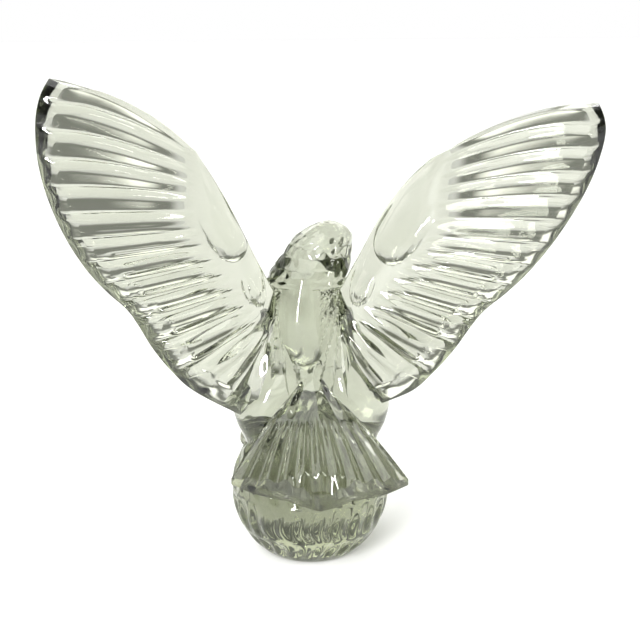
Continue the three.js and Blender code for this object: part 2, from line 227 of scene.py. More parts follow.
def slab(back, front):
    """A closed solid between two grids of points, columns by rows by 3, joined round their rims."""
    columns, rows = back.shape[:2]
    layer = columns * rows
    points = np.concatenate([back.reshape(-1, 3), front.reshape(-1, 3)])
    i, j = np.meshgrid(np.arange(columns - 1), np.arange(rows - 1), indexing="ij")
    a = (i * rows + j).ravel()
    b, c, d = a + rows, a + rows + 1, a + 1
    faces = [np.stack([a, b, c], 1), np.stack([a, c, d], 1)]
    faces += [np.stack([c, b, a], 1) + layer, np.stack([d, c, a], 1) + layer]
    rim = [(n, 0) for n in range(columns)] + [(columns - 1, n) for n in range(1, rows)]
    rim += [(n, rows - 1) for n in range(columns - 2, -1, -1)]
    rim += [(0, n) for n in range(rows - 2, 0, -1)]
    edge = np.array([m * rows + n for m, n in rim])
    after = np.roll(edge, -1)
    faces.append(np.stack([after, edge, edge + layer], 1))
    faces.append(np.stack([after, edge + layer, after + layer], 1))
    return outward(points, np.concatenate(faces))


def outward(points, faces):
    """The same solid with its faces turned out."""
    a, b, c = (points[faces[:, k]] for k in range(3))
    volume = np.einsum("ij,ij->", a, np.cross(b, c))
    return points, faces if volume > 0 else faces[:, ::-1]


def mesh_object(name, solid):
    points, faces = solid
    mesh = bpy.data.meshes.new(name)
    mesh.from_pydata((points * MM).tolist(), [], faces.tolist())
    piece = bpy.data.objects.new(name, mesh)
    bpy.context.scene.collection.objects.link(piece)
    return piece


def united(name, solids):
    """One object that is the union of the closed solids."""
    whole, *others = [mesh_object(f"{name}_{k}", solid) for k, solid in enumerate(solids)]
    for other in others:
        union = whole.modifiers.new("union", "BOOLEAN")
        union.operation = "UNION"
        union.solver = "MANIFOLD"
        union.object = other
    bpy.context.view_layer.update()
    graph = bpy.context.evaluated_depsgraph_get()
    mesh = bpy.data.meshes.new_from_object(whole.evaluated_get(graph))
    mesh.name = name
    for spent in (whole, *others):
        bpy.data.objects.remove(spent)
    piece = bpy.data.objects.new(name, mesh)
    bpy.context.scene.collection.objects.link(piece)
    return piece


def ellipses(centres, across, along, half_across, half_along, sides):
    """Rings of points round the centres. Each direction is one vector, or one for each centre."""
    turn = np.linspace(0, 2 * math.pi, sides, endpoint=False)
    across, along = (np.broadcast_to(v, centres.shape)[:, None] for v in (across, along))
    wide = np.asarray(half_across)[:, None, None] * np.cos(turn)[None, :, None]
    deep = np.asarray(half_along)[:, None, None] * np.sin(turn)[None, :, None]
    return centres[:, None] + across * wide + along * deep


# Small feathers and short strokes

# Both lie in rows: lay runs down a form and turn runs round it, each from 0 to 1.
PLUME_ROUND = 0.45
PLUME_CROWN = 0.5
PLUME_END = (0.86, 1.04)
DASH_STAGGER = 0.21
DASH_STAGGER_RATE = 7
DASH_GAP = 1.08
DASH_FULLNESS = 0.6


def plumage(rows, columns, lay, turn):
    """Overlapping feathers with rounded ends, in staggered rows, as a height from 0 to 1."""
    row = np.floor(lay * rows)
    across = 2 * np.abs((turn * columns + 0.5 * (row % 2)) % 1 - 0.5)
    down = (lay * rows - row) / (1 - PLUME_ROUND * across**2)
    return down * (1 - PLUME_CROWN * across**2) * (1 - smooth(down, *PLUME_END))


def dashes(rows, columns, lay, turn):
    """Short strokes down a form, in staggered rows and soft at their ends, from 0 to 1."""
    row = np.floor(lay * rows)
    stagger = DASH_STAGGER * np.sin(DASH_STAGGER_RATE * row)
    across = (turn * columns + 0.5 * (row % 2) + stagger) % 1 - 0.5
    down = np.clip(DASH_GAP * (lay * rows - row - 0.5), -0.5, 0.5)
    return np.cos(math.pi * across) ** 2 * np.cos(math.pi * down) ** DASH_FULLNESS


# Wings

# A knot is a place along the row of feathers, then out and up in shares of the wing's chord.
LEADING = [
    (0, 0.47, 0.155), (0.2, 0.39, 0.143), (0.4, 0.29, 0.118), (0.6, 0.185, 0.081), (0.8, 0.08, 0.036),
    (1, -0.06, -0.02),
]
TRAILING = [
    (0, 1, 0), (0.05, 0.986, -0.052), (0.12, 0.945, -0.112), (0.22, 0.862, -0.186),
    (0.32, 0.762, -0.247), (0.43, 0.64, -0.3), (0.54, 0.515, -0.336), (0.63, 0.41, -0.351),
    (0.71, 0.318, -0.356), (0.77, 0.25, -0.373), (0.84, 0.155, -0.404), (0.9, 0.05, -0.425),
    (0.95, -0.06, -0.432), (1, -0.25, -0.395),
]
QUILL_START = [
    (0, 0.53, 0.148), (0.15, 0.46, 0.09), (0.3, 0.4, 0.03), (0.45, 0.31, -0.035), (0.6, 0.2, -0.07),
    (0.75, 0.08, -0.095), (0.9, -0.05, -0.12), (1, -0.12, -0.15),
]
WINGS = {
    "left": {
        "side": -1, "root": -16.4, "raise": 43.6, "arch": 0.92,
        "shoulder_bow": -0.012, "tip_rise": 0, "fullness": 0.11,
    },
    "right": {
        "side": 1, "root": 13.9, "raise": 36.2, "arch": 1.08,
        "shoulder_bow": 0.008, "tip_rise": 0.013, "fullness": -0.15,
    },
}
SHOULDER_BACK = 6
ARCH_FADE = (-0.1, 0.15)
FULL_FROM = -0.05
TIP_RISE_REACH = 0.08
OUTER_BOW = 0.07
OUTER_BOW_FALL = 2.5
INNER_BOW = 0.03
INNER_BOW_FROM = 0.5
QUILL_SHARE = 0.36
PLATE_TAPER = 0.25
LEAD_EDGE = {"start": 0.04, "reach": 0.25, "relief_free": 0.06}
RIM_INSET = (4.6, 5.4)
RIM_FROM = 0.8
TIP_NOTCH = 1.3
NOTCH_HALF_WIDTH = 0.2
FEATHER_STEP = 1.8
FEATHER_STEP_FADE = (0.3, 0.5)
ROUNDED_RIM = 9
ROUNDED_SHARE = 0.85
WING_CUP = 9.6
CUP_MIDDLE = 0.4
WING_FLARE = 6

# Relief of the wings

# Places across a feather are shares of its width.
GENTLE_SHARE = 0.66
SOFTENING = 0.05
SHAFT_SHARE = 0.5
SHAFT_MIDDLE = 0.45
SHAFT_HALF_WIDTH = 0.16
SHAFT_FADE = (0.35, 0.6)
SHAFT_END = (0.84, 0.96)
SUNK_SHARE = 0.3
QUILL_FADE = (-0.05, 0.25)
INNER_GAIN = 0.6
INNER_GAIN_FADE = (0.5, 0.8)
FRONT_SHARE = 0.7
FRONT_END = 0.85
# Places and half sizes are shares of the chord, turns are in degrees and heights in millimetres.
LOBES = [
    {"u": 0.3, "v": 0.052, "long": 0.175, "wide": 0.073, "turn": 22, "height": 2},
    {"u": 0.05, "v": -0.035, "long": 0.082, "wide": 0.036, "turn": 38, "height": 1.7},
]
LOBE_LONG_POWER = 3
LOBE_WIDE_POWER = 2.4
LOBE_LYING = (-0.7, 0.5)
LOBE_EDGE = 0.4


def bowed(start, end, bow, share):
    """Points at shares of the way from start to end, on a line that bows aside."""
    step = end - start
    lift = 2 * bow * share * (1 - share) / np.hypot(step[..., 0], step[..., 1])
    aside = np.stack([-step[..., 1], step[..., 0]], -1)
    return start + step * share[..., None] + aside * lift[..., None]


def wing_plan(s, t, wing):
    """Plan of a wing in shares of its chord, and where its quills start.

    The plan is a grid, of s along the row of feathers and t down each from its root to its end.
    """
    lead, quill, end = (through(knots, s)[:, None] for knots in (LEADING, QUILL_START, TRAILING))
    lead = lead * [1, wing["arch"]]
    lead[..., 1] += wing["shoulder_bow"] * np.sin(math.pi * s)[:, None]
    arch = mix(1, wing["arch"], smooth(quill[..., 1], *ARCH_FADE))
    quill = quill * np.stack([np.ones_like(arch), arch], -1)
    wide = 1 + wing["fullness"] * np.maximum(0, end[..., 0] - FULL_FROM)
    lifted = wing["tip_rise"] * (1 - smooth(s, 0, TIP_RISE_REACH))[:, None]
    end = np.stack([end[..., 0], end[..., 1] * wide + lifted], -1)
    inner = mix(lead, quill, (t / QUILL_SHARE)[None, :, None])
    bow = OUTER_BOW * np.maximum(0, 1 - OUTER_BOW_FALL * s)
    bow = (bow - INNER_BOW * np.maximum(0, s - INNER_BOW_FROM))[:, None]
    outer = bowed(quill, end, bow, ((t - QUILL_SHARE) / (1 - QUILL_SHARE))[None, :])
    return np.where((t < QUILL_SHARE)[None, :, None], inner, outer), quill


def quill_relief(s, t, feathers):
    """Relief of the feathers: each falls gently over most of its width, and rises again over the rest.

    The inner feathers are higher, and have a shaft down them.
    """
    phase = (s * feathers)[:, None] % 1

    def slope(place):
        place = place % 1
        gentle = 1 - place / GENTLE_SHARE
        steep = (place - GENTLE_SHARE) / (1 - GENTLE_SHARE)
        return np.where(place < GENTLE_SHARE, gentle, steep)

    softened = sum(slope(phase + step) for step in (-SOFTENING, 0, SOFTENING)) / 3
    away = np.clip(np.abs(phase - SHAFT_MIDDLE) / SHAFT_HALF_WIDTH, 0, 1)
    shaft = np.cos(0.5 * math.pi * away) ** 2 * smooth(s, *SHAFT_FADE)[:, None]
    shaft = SHAFT_SHARE * shaft * (1 - smooth(t, *SHAFT_END))[None]
    grown = smooth(t, QUILL_SHARE + QUILL_FADE[0], QUILL_SHARE + QUILL_FADE[1])[None]
    inner = (1 + INNER_GAIN * smooth(s, *INNER_GAIN_FADE))[:, None]
    return grown * inner * (softened + shaft - SUNK_SHARE)


def lobe_relief(u, v):
    """Relief of the two broad feathers over each shoulder, for places in shares of the chord."""
    height = np.zeros_like(u)
    for lobe in LOBES:
        c, s = math.cos(math.radians(lobe["turn"])), math.sin(math.radians(lobe["turn"]))
        along = ((u - lobe["u"]) * c + (v - lobe["v"]) * s) / lobe["long"]
        across = ((v - lobe["v"]) * c - (u - lobe["u"]) * s) / lobe["wide"]
        edge = np.abs(along) ** LOBE_LONG_POWER + np.abs(across) ** LOBE_WIDE_POWER
        lying = 1 - smooth(along, *LOBE_LYING)
        height = np.maximum(height, lobe["height"] * lying * smooth(1 - edge, 0, LOBE_EDGE))
    return height


def wing_grid(feathers):
    """The places of a wing's points: s along the row of feathers, and t down them, closer at both edges."""
    steps, lead_rows, middle_rows, rim_rows = 14, 12, 34, 13
    lead_end, rim_start = 0.22, 0.9
    lead = lead_end * np.linspace(0, 1, lead_rows) ** 2
    middle = np.linspace(lead_end, rim_start, middle_rows)[1:]
    rim = np.linspace(rim_start, 1, rim_rows)[1:]
    return np.linspace(0, 1, feathers * steps + 1), np.concatenate([lead, middle, rim])


def make_wing(sizes, wing):
    """One wing: a cupped plate with its feathers in relief on both faces and a thick notched rim."""
    side = wing["side"]
    s, t = wing_grid(sizes.wing_feathers)
    chord, thickness = sizes.wing_chord / MM, sizes.wing_thickness / MM
    sweep, lift = sizes.wing_sweep, math.radians(wing["raise"])
    out = np.array([side * math.cos(sweep), -math.sin(sweep), 0])
    backward = np.array([-side * math.sin(sweep), -math.cos(sweep), 0])
    along_chord = out * math.cos(lift) + UP * math.sin(lift)
    toward_lead = -out * math.sin(lift) + UP * math.cos(lift)
    shoulder = np.array([wing["root"], -SHOULDER_BACK, ball_top(sizes) + sizes.leg_rise / MM])
    plan, quill = wing_plan(s, t, wing)
    u, v = plan[..., 0], plan[..., 1]
    lead_edge = np.sqrt(np.minimum(1, LEAD_EDGE["start"] + t / LEAD_EDGE["reach"]))[None]
    half = 0.5 * thickness * (1 - PLATE_TAPER * np.maximum(0, u)) * lead_edge
    middle = WING_FLARE * np.maximum(0, u) ** 2 - WING_CUP * (t - CUP_MIDDLE)[None] ** 2
    relief = lobe_relief(u, v) + sizes.quill_height / MM * quill_relief(s, t, sizes.wing_feathers)
    relief = relief * smooth(t, 0, LEAD_EDGE["relief_free"])[None]
    inward = quill - plan
    inward = inward / np.maximum(np.linalg.norm(inward, axis=-1, keepdims=True), 1e-9)
    phase = (s * sizes.wing_feathers) % 1
    notch = TIP_NOTCH * np.clip(1 - np.minimum(phase, 1 - phase) / NOTCH_HALF_WIDTH, 0, 1)
    stair = FEATHER_STEP * (0.5 - phase) * smooth(s, *FEATHER_STEP_FADE)
    inset = ((mix(*RIM_INSET, s) + notch + stair) / chord)[:, None] * smooth(t, RIM_FROM, 1)[None]
    to_rim = np.linalg.norm(plan - plan[:, -1:], axis=-1) * chord
    rounding = ROUNDED_SHARE * half * np.clip(1 - to_rim / ROUNDED_RIM, 0, 1) ** 2
    front_relief = FRONT_SHARE * relief * (1 - smooth(t, FRONT_END, 1))[None]

    def placed(shift, height):
        spot = plan + inward * shift[..., None]
        flat = along_chord * spot[..., :1] * chord + toward_lead * spot[..., 1:] * chord
        return shoulder + flat + backward * height[..., None]

    back = placed(inset, middle + half + relief)
    front = placed(0 * inset, middle - half + rounding - front_relief)
    return slab(back, front)


# Torso, and the smooth spindle that stands out of its back between the wings

# A knot is a share of the rise from the ball to the shoulders, then how far the middle is to the right
# and ahead, half the width and half the depth.
TORSO = [
    (-0.06, 0, 2, 9, 9), (0.06, 0, 3, 16.5, 13.5), (0.22, 0, 4.2, 19.5, 16), (0.42, -0.5, 5, 21, 18.4),
    (0.62, -1, 5, 21, 18.8), (0.8, -1.3, 4.6, 18.4, 16.6), (0.95, -1.5, 4.6, 15, 15),
    (1.08, -1, 4.6, 12, 13.4),
]
SPINE = [
    (0.36, -2.9, -9, 1.5, 2.5), (0.41, -2.8, -8, 5.2, 6.5), (0.49, -2.7, -7, 7.7, 8.8),
    (0.58, -3.6, -6.5, 9.2, 10.2), (0.73, -4.3, -6, 9.1, 10.8), (0.88, -4, -5.5, 8.1, 10.2),
    (1.03, -2.8, -5, 7.1, 9),
]
BREAST_FADE = (4, 10)
BREAST_PLUMES = (7, 14)
TORSO_AXIS = {"right": -1, "ahead": 5}
FAN = {"aside": 14, "spacing": 8, "height": 3.4, "sink": 2.4, "grown_over": 14, "grown_behind": 5}


def ball_centre(sizes):
    return math.sqrt(sizes.ball_radius**2 - sizes.stand_radius**2) / MM


def ball_top(sizes):
    return ball_centre(sizes) + sizes.ball_radius / MM


def rise(sizes, share):
    """Height at a share of the way from the top of the ball to the shoulders."""
    return ball_top(sizes) + share * sizes.leg_rise / MM


def stack(sizes, knots, sides, rings, plumes=None):
    """A closed solid of level ellipses through the knots, with small feathers on its breast if asked."""
    share = np.linspace(knots[0][0], knots[-1][0], rings)
    x, y, wide, deep = through(knots, share).T
    centres = np.stack([x, y, rise(sizes, share)], 1)
    points = ellipses(centres, RIGHT, FORWARD, wide, deep, sides)
    if plumes:
        lay = np.linspace(1, 0, rings)[:, None]
        turn = np.linspace(0, 1, sides, endpoint=False)[None]
        facing = smooth(points[..., 1], *BREAST_FADE)
        height = sizes.plume_height / MM * plumage(*plumes, lay, turn) * facing
        points += (points - centres[:, None]) / np.stack([wide, deep, wide], 1)[:, None] * height[..., None]
    return loft(points)


def make_torso(sizes):
    """The torso, with the inmost feathers of both wings lying down its back."""
    points, faces = stack(sizes, TORSO, sides=144, rings=80, plumes=BREAST_PLUMES)
    side = np.abs(points[:, 0] - TORSO_AXIS["right"])
    down = rise(sizes, 1) - points[:, 2]
    spread = np.degrees(np.arctan2(side - FAN["aside"], down))
    rib = np.cos(math.pi * spread / FAN["spacing"]) ** 2
    grown = smooth(down, 0, FAN["grown_over"]) * smooth(-points[:, 1], 0, FAN["grown_behind"])
    lift = (FAN["height"] * rib - FAN["sink"]) * grown
    middle = np.stack([0 * side + TORSO_AXIS["right"], 0 * side + TORSO_AXIS["ahead"], points[:, 2]], 1)
    way = points - middle
    way /= np.maximum(np.linalg.norm(way, axis=1, keepdims=True), 1)
    return points + way * lift[:, None], faces


def make_spine(sizes):
    return stack(sizes, SPINE, sides=64, rings=48)


# Head

# A knot is a share of the rise from the shoulders to the crown, then the same as the torso's.
HACKLES = [
    (-0.2, -1, 1, 11.5, 11), (-0.12, -1, 0.5, 15.3, 14.4), (0, -0.8, 0.8, 15.1, 14.4),
    (0.18, 1.2, 2.4, 14.7, 14), (0.4, 3.5, 4, 13.1, 13.2), (0.63, 5.2, 5, 11.6, 12.4),
    (0.78, 6.5, 5.2, 9.6, 11), (0.9, 7.2, 5.2, 6.4, 7.8), (0.97, 7.4, 5.2, 3.6, 4.4),
    (1, 7.4, 5.2, 1.2, 1.6),
]
HACKLE_DEPTH = 1.2
HACKLE_CROWDING = 1.4
HACKLE_DASHES = (6, 15)
HACKLE_DASH_SHARE = 0.75
HACKLE_DASH_SLANT = 0.1
HACKLE_DASH_FADE = (0.02, 0.2)
HEAD_TWIST_END = 0.6
HEAD_MIDDLE = {"right": 4.5, "ahead": 5, "crown_share": 0.5}

# A knot of the beak or jaw is its number, how far it is ahead of the head's middle and above it, then
# half its width and half its height.
BEAK = [
    (0, 6.5, 0.4, 5.6, 5.6), (1, 11.5, 0.6, 4.8, 5), (2, 15, -0.4, 3.6, 3.9), (3, 17.4, -3, 2.2, 2.6),
    (4, 17.9, -6.4, 0.6, 0.7),
]
JAW = [(0, 6.5, -4.6, 3.8, 2.2), (1, 11, -5, 2.8, 1.8), (2, 14.4, -4.8, 1, 0.9)]
# A knot of the brow is its number, how far it is ahead, aside and up, then half its thickness.
BROW = [(0, -1, 5.8, 3.6, 2), (1, 3.4, 7.2, 4, 3.2), (2, 8, 6.4, 3.4, 3.4), (3, 11.6, 4, 2.2, 1.2)]
BROW_FLATNESS = 0.7
EYE = {"radius": 2.3, "ahead": 8.2, "aside": 6.8, "up": 0.6, "pole": 0.05}


def make_hackles(sizes, face, cheek):
    """The neck and the crown, which twist from the breast's way round to the face's."""
    crown = sizes.crown_rise / MM
    shoulders = ball_top(sizes) + sizes.leg_rise / MM
    sides, rings = 96, 64
    share = 1 - (1 - np.linspace(0, 1, rings)) ** HACKLE_CROWDING * HACKLE_DEPTH
    x, y, wide, deep = through(HACKLES, share).T
    twist = smooth(share, 0, HEAD_TWIST_END)[:, None]
    across = RIGHT + (cheek - RIGHT) * twist
    along = FORWARD + (face - FORWARD) * twist
    across, along = (v / np.linalg.norm(v, axis=1, keepdims=True) for v in (across, along))
    centres = np.stack([x, y, shoulders + share * crown], 1)
    points = ellipses(centres, across, along, wide, deep, sides)
    turn = np.linspace(0, 1, sides, endpoint=False)[None]
    down = (1 - share)[:, None]
    strokes = dashes(*HACKLE_DASHES, down / HACKLE_DEPTH, turn + HACKLE_DASH_SLANT * down)
    plumes = HACKLE_DASH_SHARE * strokes * smooth(down, *HACKLE_DASH_FADE)
    height = sizes.plume_height / MM * plumes
    points += (points - centres[:, None]) / wide[:, None, None] * height[..., None]
    return loft(points)


def make_head(sizes):
    """The solids of the head: its hackles, beak and jaw, and a brow and an eye on each side."""
    turned = sizes.head_turn
    face = np.array([math.sin(turned), math.cos(turned), 0])
    cheek = np.array([math.cos(turned), -math.sin(turned), 0])
    shoulders = ball_top(sizes) + sizes.leg_rise / MM
    level = shoulders + HEAD_MIDDLE["crown_share"] * (sizes.crown_rise / MM)
    middle = np.array([HEAD_MIDDLE["right"], HEAD_MIDDLE["ahead"], level])
    solids = [make_hackles(sizes, face, cheek)]

    def at(ahead, aside, high):
        outer = np.multiply.outer
        return middle + outer(ahead, face) + outer(aside, cheek) + outer(high, UP)

    def horn(path, rings):
        ahead, high, wide, tall = through(path, np.linspace(0, path[-1][0], rings)).T
        line = at(ahead, 0 * ahead, high)
        way = np.gradient(line, axis=0)
        way /= np.linalg.norm(way, axis=1, keepdims=True)
        return loft(ellipses(line, cheek, np.cross(way, cheek), wide, tall, sides=32))

    solids += [horn(BEAK, rings=30), horn(JAW, rings=16)]
    for side in (-1, 1):
        ahead, aside, high, half = through(BROW, np.linspace(0, BROW[-1][0], num=20)).T
        brow = at(ahead, side * aside, high)
        solids.append(loft(ellipses(brow, cheek, UP, half, half * BROW_FLATNESS, sides=24)))
        polar = np.linspace(EYE["pole"], math.pi - EYE["pole"], num=16)
        ring = EYE["radius"] * np.sin(polar)
        high = EYE["up"] + EYE["radius"] * np.cos(polar)
        eye = at(EYE["ahead"] + 0 * polar, side * EYE["aside"] + 0 * polar, high)
        solids.append(loft(ellipses(eye, RIGHT, FORWARD, ring, ring, sides=24)))
    return solids


# Tail

# Places along it are shares of its length, and places across it are shares of half its width.
RUMP = {"right": -0.4, "behind": 9, "rise_share": 0.3}
TAIL_SHORTENING = 0.3
TAIL_ROOT = {"half_width": 1.5, "depth": 7}
TAIL_SWELL = 2
TAIL_CURVE = 0.09
TAIL_CROWN = 2
TAIL_EDGE_RATE = 6
CORNER_DEPTH = 2.2
CORNER_POWER = 1.4
COVERTS = 0.5
COVERT_BAND = 0.04
COVERT_SCALLOP = 0.03
COVERT_STEP = 1.3
HOOD = {"height": 1.6, "middle": 0.64, "half_width": 0.2, "grown": 0.06, "falls_from": 0.4}
TAIL_QUILL = 1.5
UNDER_QUILL = 0.8
UNDER_QUILL_GROWN = (0.3, 0.5)
END_CUT = 4.5
END_FROM = 0.9
END_FACET = {"reach": 0.93, "half_width": 12.4, "depth": 6.4}


def hood_relief(across, t):
    """Relief of the two ridges of the hood that covers the tail's root."""
    away = np.clip(np.abs(np.abs(across) - HOOD["middle"]) / HOOD["half_width"], 0, 1)
    ridges = HOOD["height"] * np.cos(0.5 * math.pi * away) ** 2
    return ridges * smooth(t, 0, HOOD["grown"]) * (1 - smooth(t, HOOD["falls_from"], COVERTS))


def make_tail(sizes):
    """The fanned tail, with a hood over its root, ribs on both faces and a cut end with one facet."""
    steps, hood_rows, fan_rows = 16, 24, 28
    columns = sizes.tail_feathers * steps + 1
    across = np.linspace(-1, 1, columns)[:, None]
    below_hood = np.linspace(COVERTS + 0.5 * COVERT_BAND, 1, fan_rows)
    t = np.concatenate([np.linspace(0, COVERTS, hood_rows), below_hood])[None]
    drop, tilt = sizes.tail_drop, sizes.tail_tilt
    length, half_width = sizes.tail_length / MM - TAIL_SHORTENING, sizes.tail_half_width / MM
    wide = mix(TAIL_ROOT["half_width"], half_width, t) + TAIL_SWELL * np.sin(math.pi * t)
    reach = t * length * (1 - TAIL_CURVE * across**2)
    crown = TAIL_CROWN * (1 - across**2)
    phase = (np.arange(columns) % steps / steps)[:, None]
    away = np.minimum(phase, 1 - phase)
    ridge = np.cos(math.pi * away) ** 2
    scallop = COVERT_SCALLOP * (1 - (2 * away) ** 2)
    grown = smooth(t + scallop, COVERTS, COVERTS + COVERT_BAND)
    quill = grown * TAIL_QUILL * ridge + (1 - grown) * (COVERT_STEP + hood_relief(across, t))
    edge = np.minimum(1, TAIL_EDGE_RATE * (1 - np.abs(across)))
    from_facet = np.abs(across * wide) / END_FACET["half_width"]
    near_end = np.clip((t - END_FACET["reach"]) / (1 - END_FACET["reach"]), 0, 1)
    facet = END_FACET["depth"] * np.maximum(0, 1 - from_facet) * near_end
    high = crown + quill * edge - facet
    cut_back = END_CUT * np.clip(1 - np.abs(1 - from_facet), 0, 1) * smooth(t, END_FROM, 1)
    taper = 1 - np.abs(across) ** CORNER_POWER
    end_depth = CORNER_DEPTH + (sizes.tail_thickness / MM - CORNER_DEPTH) * taper
    deep = mix(TAIL_ROOT["depth"], end_depth, np.sqrt(t))
    rump = np.array([RUMP["right"], -RUMP["behind"], rise(sizes, RUMP["rise_share"])])
    x = across * wide
    lean = -reach * math.sin(drop) - x * math.tan(tilt)

    def placed(height, cut=0):
        grid = np.broadcast_arrays(x, -reach * math.cos(drop) + cut, lean + height)
        return rump + np.stack(grid, -1)

    under = UNDER_QUILL * ridge * edge * smooth(t, *UNDER_QUILL_GROWN) * (1 - smooth(t, END_FROM, 1))
    return slab(placed(high), placed(crown - deep - under, cut_back))


# Legs

THIGH_MIDDLE = 0.8
# A knot is as the torso's, but with how far the thigh's middle is aside of the middle of both.
THIGH = [
    (-0.42, 17.5, 3, 4.5, 6), (-0.3, 17.8, 2.5, 7, 8.5), (-0.2, 17.6, 2, 9.2, 10.5),
    (-0.1, 17.2, 2, 12.2, 12.5), (0.04, 16.7, 2.5, 14.3, 14), (0.2, 14.5, 3, 14, 14), (0.36, 11, 4, 9, 10),
]
THIGH_FADE = (0, 6)
THIGH_PLUMES = (5, 9)
# A toe runs between two places on the ball, in degrees down from its top and round from its front.
TOES = [
    {"start": (42, 46), "end": (70, 9)}, {"start": (46, 53), "end": (80, 27)},
    {"start": (46, 60), "end": (76, 46)}, {"start": (44, 128), "end": (66, 156)},
]
TOE_RADIUS = 3.4
# Shares of the toe's radius
TOE_SHARES = {"root": 1.05, "taper": 0.25, "out": 0.25, "knuckles": 0.5, "talon": 0.75, "dip": 3}
TOE_KNUCKLES = 2.5
TOE_SCALES = {"height": 0.03, "rate": 60}
TALON = 0.72
TALON_POINT = 0.5


def make_thigh(sizes, side):
    """One feathered thigh, from the torso down to the ball."""
    sides, rings = 64, 48
    share = np.linspace(THIGH[0][0], THIGH[-1][0], rings)
    aside, ahead, wide, deep = through(THIGH, share).T
    centres = np.stack([THIGH_MIDDLE + side * aside, ahead, rise(sizes, share)], 1)
    points = ellipses(centres, RIGHT, FORWARD, wide, deep, sides)
    lay = np.linspace(1, 0, rings)[:, None]
    turn = np.linspace(0, 1, sides, endpoint=False)[None]
    facing = smooth(points[..., 1], *THIGH_FADE)
    height = sizes.plume_height / MM * plumage(*THIGH_PLUMES, lay, turn) * facing
    points += (points - centres[:, None]) / wide[:, None, None] * height[..., None]
    return loft(points)


def make_toe(sizes, side, toe):
    """One toe that grips the ball, with knuckles, fine scales and a talon that dips into the glass."""
    radius = sizes.ball_radius / MM
    middle = np.array([0, 0, ball_centre(sizes)])

    def line(t):
        knuckle = TOE_SHARES["out"] + TOE_SHARES["knuckles"] * np.abs(np.sin(TOE_KNUCKLES * math.pi * t))
        knuckle = knuckle - TOE_SHARES["dip"] * np.maximum(0, t - TALON)
        down = np.radians(mix(toe["start"][0], toe["end"][0], t))
        turn = np.radians(mix(toe["start"][1], toe["end"][1], t))
        out = radius + TOE_RADIUS * knuckle
        level = out * np.sin(down)
        return middle + np.stack([side * level * np.sin(turn), level * np.cos(turn), out * np.cos(down)], 1)

    rings, nearby = 40, 0.02
    t = np.linspace(0, 1, rings)
    spots = line(t)
    way = line(t + nearby) - line(t - nearby)
    way /= np.linalg.norm(way, axis=1, keepdims=True)
    outward_way = (spots - middle) / np.linalg.norm(spots - middle, axis=1, keepdims=True)
    across = np.cross(way, outward_way)
    across /= np.linalg.norm(across, axis=1, keepdims=True)
    toe_thick = TOE_RADIUS * (TOE_SHARES["root"] - TOE_SHARES["taper"] * t)
    talon_thick = mix(TOE_RADIUS * TOE_SHARES["talon"], TALON_POINT, (t - TALON) / (1 - TALON))
    scales = TOE_SCALES["height"] * np.sin(TOE_SCALES["rate"] * t) * (t < TALON)
    thick = np.where(t < TALON, toe_thick, talon_thick) * (1 + scales)
    return loft(ellipses(spots, across, np.cross(across, way), thick, thick, sides=24))


# Ball

STROKE_DEPTH = 1.7
STROKE_DASHES = (5, 24)
STROKE_FADE = (0.04, 0.12)
STROKE_WANDER = {"size": 0.012, "rate": 9, "start": 4}
STROKE_SHIVER = {"size": 0.006, "rate": 31}
STROKE_UNEVENNESS = {"share": 0.25, "times_round": 5, "times_down": 1.7}
HOLLOW_DEPTH = 3
FOOT_WIDTH = 3


def make_ball(sizes):
    """The ball, with short strokes cut all over it and a shallow hollow under it."""
    radius, stand = sizes.ball_radius / MM, sizes.stand_radius / MM
    sides, rings, hollow_rings = 200, 66, 8
    pole, hollow_pole = 0.03, 0.04
    start = math.asin(stand / radius)
    angle = np.linspace(start, math.pi - pole, rings)
    centres = np.stack([0 * angle, 0 * angle, ball_centre(sizes) - radius * np.cos(angle)], 1)
    centres[0, 2] = 0
    level = radius * np.sin(angle)
    points = ellipses(centres, RIGHT, FORWARD, level, level, sides)
    hollow = np.linspace(hollow_pole, 1, hollow_rings)
    under = np.stack([0 * hollow, 0 * hollow, HOLLOW_DEPTH * (1 - hollow**2)], 1)
    out = hollow * (stand - FOOT_WIDTH)
    under = ellipses(under, RIGHT, FORWARD, out, out, sides)
    turn = np.linspace(0, 1, sides, endpoint=False)[None]
    lay = np.linspace(0, 1, rings)[:, None]
    wander = STROKE_WANDER["size"] * np.sin(STROKE_WANDER["rate"] * lay + STROKE_WANDER["start"])
    wander = wander + STROKE_SHIVER["size"] * np.sin(STROKE_SHIVER["rate"] * lay)
    strokes = dashes(*STROKE_DASHES, 1 - lay, turn + wander) * smooth(lay, *STROKE_FADE)
    share, times_round, times_down = STROKE_UNEVENNESS.values()
    uneven = share * np.sin(2 * math.pi * (times_round * turn + times_down * lay))
    strokes = strokes * (1 - share + uneven)
    points -= (points - [0, 0, ball_centre(sizes)]) / radius * (STROKE_DEPTH * strokes)[..., None]
    return loft(np.concatenate([under, points]))


# Materials


class Socket:
    """An output of a node, with the operators that shader maths needs."""

    def __init__(self, shader, output):
        self.shader, self.output = shader, output

    def __add__(self, other):
        return self.shader.maths("ADD", self, other)

    def __mul__(self, other):
        return self.shader.maths("MULTIPLY", self, other)


